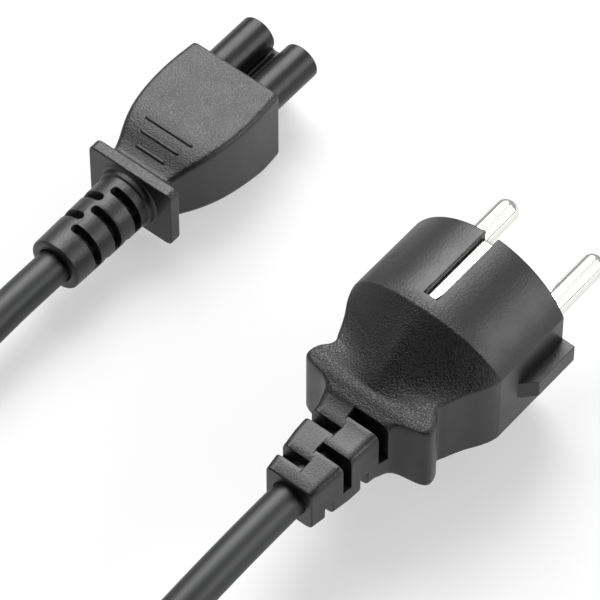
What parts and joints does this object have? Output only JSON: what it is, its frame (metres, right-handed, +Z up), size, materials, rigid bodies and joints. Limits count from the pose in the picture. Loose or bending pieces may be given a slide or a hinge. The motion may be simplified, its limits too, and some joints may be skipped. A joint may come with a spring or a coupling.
{
  "type": "cloverleaf power cord",
  "caption": "Mains lead with a three-lobed cloverleaf connector at one end and a round earthed two-pin plug at the other, its spare cord coiled and tied.",
  "frame": {"origin": "on the floor, below the middle of the box round the plug and the connector, with the free cord left out", "axes": "+X is the way that both ends point, +Y runs from the plug to the connector, +Z is up"},
  "size_m": [0.2354, 0.1056, 0.0358],
  "materials": {
    "overmould": "black moulded soft PVC with a fine spark-eroded grain",
    "sheath": "black extruded PVC, smooth with a soft sheen",
    "insert": "black moulded nylon, smooth and slightly glossy",
    "nickel": "polished nickel plate on brass",
    "brass": "plain stamped brass",
    "tie": "black vinyl strap"
  },
  "bodies": {
    "root": {"plug_body": "overmould", "pin_bridge": "insert", "pin_line": "nickel", "pin_neutral": "nickel", "earth_contact": "nickel", "connector_body": "overmould", "connector_insert": "insert", "contact_line": "brass", "contact_neutral": "brass", "contact_earth": "brass", "cord_connector_lead": "sheath", "cord_coil": "sheath", "cord_plug_lead": "sheath", "coil_tie": "tie"}
  },
  "joints": []
}
